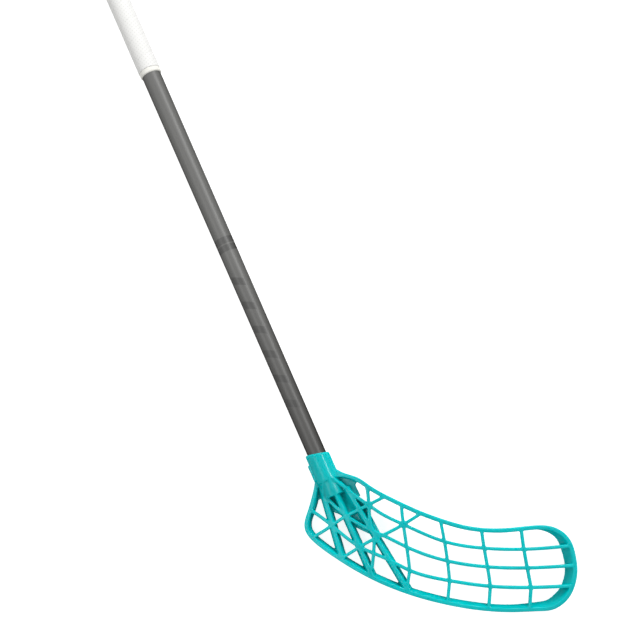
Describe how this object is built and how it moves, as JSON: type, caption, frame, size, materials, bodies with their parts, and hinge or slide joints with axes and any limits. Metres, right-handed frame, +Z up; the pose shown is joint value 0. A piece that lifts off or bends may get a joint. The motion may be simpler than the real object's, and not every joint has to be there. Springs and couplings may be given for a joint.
{
  "type": "floorball stick",
  "caption": "Slim tapered hollow shaft with a wound grip and end cap, glued and screwed into an arched, ribbed plastic floorball blade.",
  "frame": {"origin": "centre of the end cap's outer face, on the shaft's axis", "axes": "+X along the shaft towards the blade, +Y to the blade's toe side, +Z up from the floor through the blade's arched face"},
  "size_m": [0.9744, 0.2562, 0.0328],
  "materials": {
    "shaft_composite": "satin carbon-fibre composite",
    "grip_foam": "matt perforated polyurethane strip",
    "band_tape": "matt",
    "cap_rubber": "matt",
    "hot_melt": "waxy",
    "screw_steel": "zinc plated",
    "blade_plastic": "moulded polyethylene, half gloss"
  },
  "bodies": {
    "stick": {"shaft": "shaft_composite", "grip_wrap": "grip_foam", "grip_band": "band_tape", "glue_film": "hot_melt", "blade": "blade_plastic"},
    "cap": {"end_cap": "cap_rubber"},
    "screw": {"blade_screw": "screw_steel"}
  },
  "joints": [
    {"name": "cap_pull", "type": "slide", "parent": "stick", "child": "cap", "axis": [-1, 0, 0], "range_m": [0, 0.03]},
    {"name": "screw_back_out", "type": "slide", "parent": "stick", "child": "screw", "axis": [0, -1, 0], "range_m": [0, 0.012]}
  ]
}
